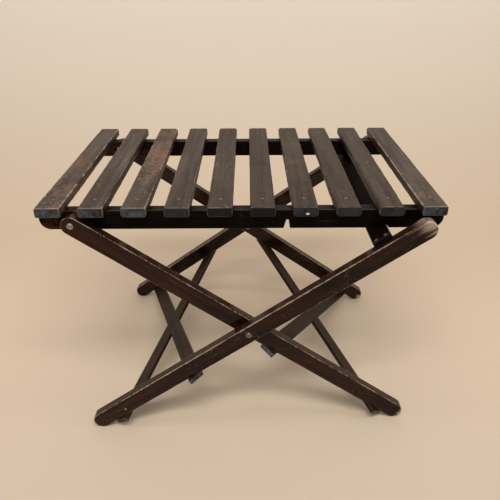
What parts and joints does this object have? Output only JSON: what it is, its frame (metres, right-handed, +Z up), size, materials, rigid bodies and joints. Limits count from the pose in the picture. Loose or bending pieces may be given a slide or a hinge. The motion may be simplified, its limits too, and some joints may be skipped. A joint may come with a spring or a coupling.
{
  "type": "folding luggage rack",
  "caption": "Folding slatted wooden luggage rack on two crossed leg frames with diagonal braces and a notched stop board catch.",
  "frame": {"origin": "on the floor, under the middle of the slatted top", "axes": "+X to the right along the rails, +Y away from the viewer along the slats, +Z up"},
  "size_m": [0.662, 0.4966, 0.4529],
  "materials": {
    "slat_wood": "worn dark stained hardwood, satin varnish",
    "rail_wood": "dark stained hardwood, satin varnish",
    "leg_wood": "dark reddish brown stained hardwood, satin varnish",
    "brace_wood": "dark stained hardwood, satin varnish",
    "board_wood": "dark stained hardwood, satin varnish",
    "rivet_metal": "dulled steel",
    "screw_metal": "dulled steel"
  },
  "bodies": {
    "leg_frame_a": {"leg_a_front": "leg_wood", "leg_a_back": "leg_wood", "brace_a_1": "brace_wood", "brace_a_2": "brace_wood", "brace_screws_a": "screw_metal", "hinge_rivet_front": "rivet_metal", "hinge_rivet_back": "rivet_metal", "hinge_washers": "rivet_metal", "hinge_roves": "rivet_metal"},
    "leg_frame_b": {"leg_b_front": "leg_wood", "leg_b_back": "leg_wood", "brace_b_1": "brace_wood", "brace_b_2": "brace_wood", "brace_screws_b": "screw_metal", "stop_board": "board_wood", "stop_board_screws": "screw_metal", "pivot_rivet_front": "rivet_metal", "pivot_rivet_back": "rivet_metal", "pivot_washers": "rivet_metal", "pivot_roves": "rivet_metal"},
    "platform": {"slat_01": "slat_wood", "slat_02": "slat_wood", "slat_03": "slat_wood", "slat_04": "slat_wood", "slat_05": "slat_wood", "slat_06": "slat_wood", "slat_07": "slat_wood", "slat_08": "slat_wood", "slat_09": "slat_wood", "slat_10": "slat_wood", "rail_front": "rail_wood", "rail_back": "rail_wood", "slat_screws_front": "screw_metal", "slat_screws_back": "screw_metal"}
  },
  "joints": [
    {"name": "platform_lift", "type": "hinge", "parent": "leg_frame_a", "child": "platform", "pos_m": [-0.2752, 0, 0.41764], "axis": [0, -1, 0], "range_deg": [0, 90]},
    {"name": "leg_fold", "type": "hinge", "parent": "leg_frame_a", "child": "leg_frame_b", "pos_m": [0.01048, 0, 0.21536], "axis": [0, 1, 0], "range_deg": [0, 69.5]}
  ]
}
